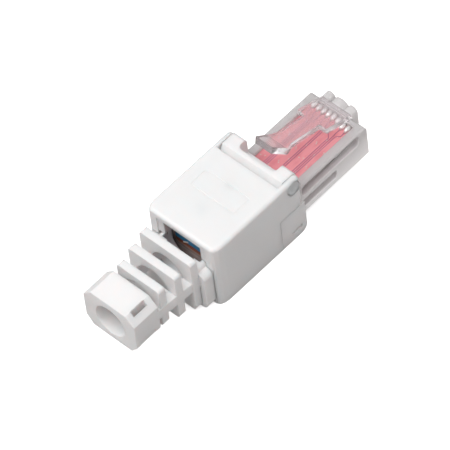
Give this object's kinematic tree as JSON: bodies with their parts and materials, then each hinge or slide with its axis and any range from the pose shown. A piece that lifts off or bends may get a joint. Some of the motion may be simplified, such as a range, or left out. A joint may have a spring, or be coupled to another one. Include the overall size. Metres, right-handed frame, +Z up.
{
  "type": "field termination ethernet plug",
  "caption": "Clear modular plug on a red circuit board in a white housing with a hinged wiring cap, a latch lever and a ribbed bend relief for the cable.",
  "frame": {"origin": "middle of the housing's flat underside", "axes": "+X towards the mating end of the plug, +Z up through the hinged cap and the latch, +Y to the left"},
  "size_m": [0.0547, 0.0148, 0.0165],
  "materials": {
    "white_plastic": "moulded, satin",
    "clear_plastic": "clear polycarbonate",
    "red_board": "glossy solder mask",
    "contact_metal": "gold plated",
    "terminal_metal": "tin plated",
    "label_film": "printed film"
  },
  "bodies": {
    "housing": {"base": "white_plastic", "bend_relief": "white_plastic", "plug_shell": "clear_plastic", "circuit_board": "red_board", "terminal_block": "white_plastic", "wiring_label": "label_film", "contact_1": "contact_metal", "contact_2": "contact_metal", "contact_3": "contact_metal", "contact_4": "contact_metal", "contact_5": "contact_metal", "contact_6": "contact_metal", "contact_7": "contact_metal", "contact_8": "contact_metal", "wire_terminal_1": "terminal_metal", "wire_terminal_2": "terminal_metal", "wire_terminal_3": "terminal_metal", "wire_terminal_4": "terminal_metal", "wire_terminal_5": "terminal_metal", "wire_terminal_6": "terminal_metal", "wire_terminal_7": "terminal_metal", "wire_terminal_8": "terminal_metal"},
    "cap": {"hinged_cap": "white_plastic", "load_bar": "white_plastic"},
    "latch": {"latch_lever": "clear_plastic"}
  },
  "joints": [
    {"name": "cap_open", "type": "hinge", "parent": "housing", "child": "cap", "pos_m": [0.0089, 0, 0.0121], "axis": [0, 1, 0], "range_deg": [0, 75]},
    {"name": "latch_press", "type": "hinge", "parent": "housing", "child": "latch", "pos_m": [0.0264, 0, 0.00895], "axis": [0, -1, 0], "range_deg": [0, 12], "stiffness_Nm_per_rad": 0.1}
  ]
}
